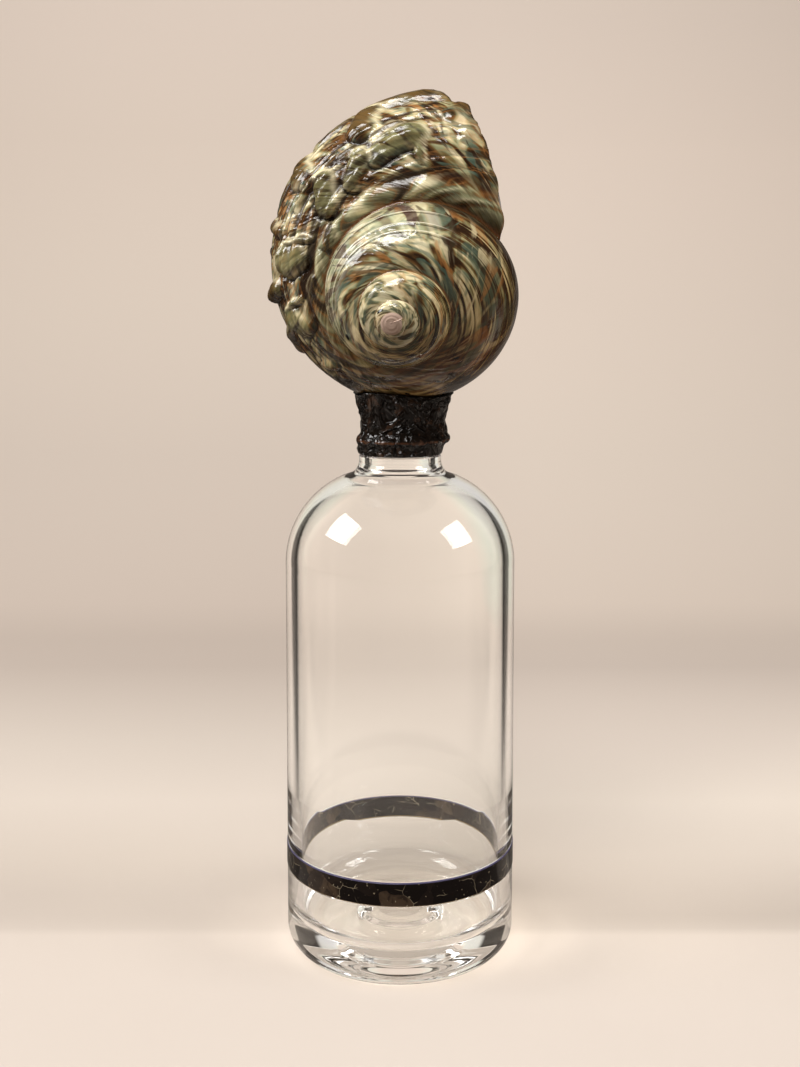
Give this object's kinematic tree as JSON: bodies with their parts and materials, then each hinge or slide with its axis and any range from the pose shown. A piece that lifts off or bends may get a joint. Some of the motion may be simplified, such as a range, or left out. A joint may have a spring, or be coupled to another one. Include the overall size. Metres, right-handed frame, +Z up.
{
  "type": "glass decanter with turban shell stopper",
  "caption": "Round-shouldered clear glass decanter with a dark inlaid band at the foot and a polished turban shell on a cast collar as its stopper.",
  "frame": {"origin": "centre of the bottle's flat foot, where its axis meets the ground", "axes": "+Z up the bottle's axis; the shell's apex looks toward -Y; the shell's mouth opens toward +X"},
  "size_m": [0.0955, 0.1005, 0.3291],
  "materials": {
    "clear_glass": "clear blown glass, polished",
    "dark_inlay": "dark pen-shell strip under clear lacquer",
    "cork": "natural cork",
    "dark_casting": "dark brown cast resin with a glossy, rippled skin",
    "lacquered_shell": "natural turban shell, mottled green, cream and brown under gloss lacquer"
  },
  "bodies": {
    "root": {"bottle": "clear_glass", "inlay_band": "dark_inlay", "stopper_plug": "cork", "stopper_collar": "dark_casting", "shell": "lacquered_shell"}
  },
  "joints": []
}
